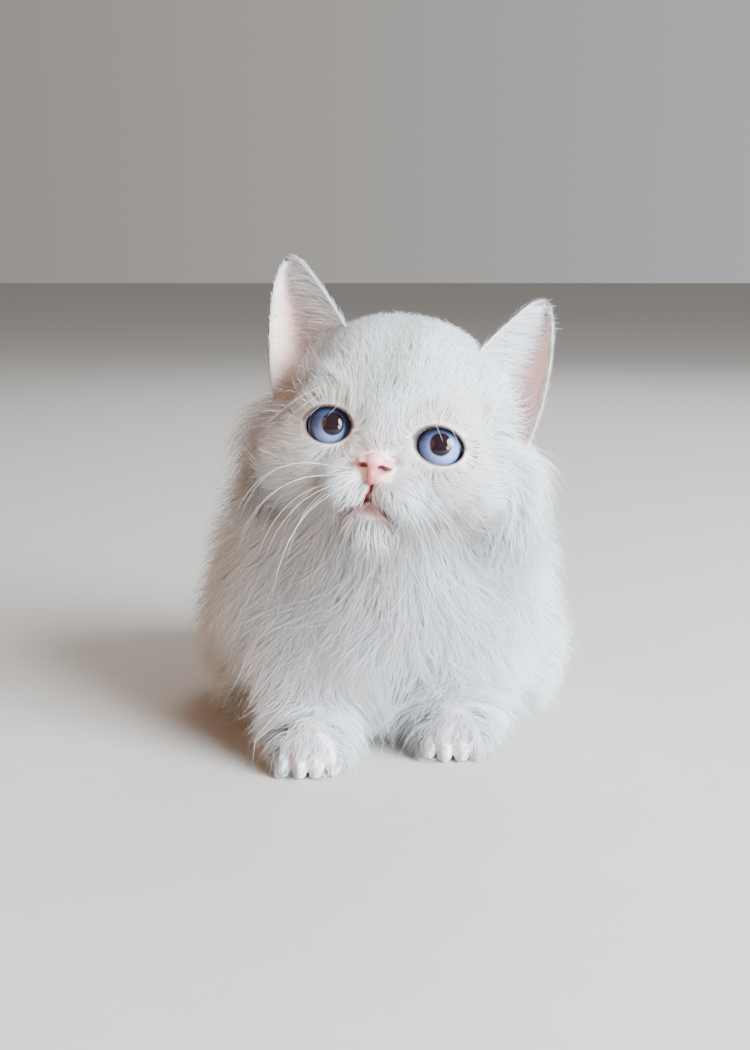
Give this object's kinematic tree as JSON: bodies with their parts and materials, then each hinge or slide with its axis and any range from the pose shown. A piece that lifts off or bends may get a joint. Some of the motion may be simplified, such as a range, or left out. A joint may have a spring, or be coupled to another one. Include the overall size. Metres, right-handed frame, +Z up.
{
  "type": "long-haired short-legged kitten",
  "caption": "Young long-haired white cat with short legs, sitting upright with its head tilted and its tail laid on the floor, at life size.",
  "frame": {"origin": "on the floor, under the middle of the bounding box", "axes": "+Z up from the floor, -Y the way the kitten faces, +X its own left"},
  "size_m": [0.143, 0.175, 0.168],
  "materials": {
    "coat": "long soft white fur, matte",
    "face_fur": "short soft white fur, matte",
    "ear_skin": "thin pink skin with short white fur, soft satin",
    "nose_leather": "moist pink skin, satin",
    "iris": "wet clear cornea over a pale blue iris and a dark pupil"
  },
  "bodies": {
    "root": {"eye_right": "iris", "eye_left": "iris", "nose": "nose_leather", "ear_right": "ear_skin", "ear_left": "ear_skin", "head": "face_fur", "forepaw_right": "coat", "forepaw_left": "coat", "hindfoot_right": "coat", "hindfoot_left": "coat", "tail_tip": "coat", "tail_base": "coat", "foreleg_right": "coat", "foreleg_left": "coat", "haunch_right": "coat", "haunch_left": "coat", "neck": "coat", "torso": "coat"}
  },
  "joints": []
}
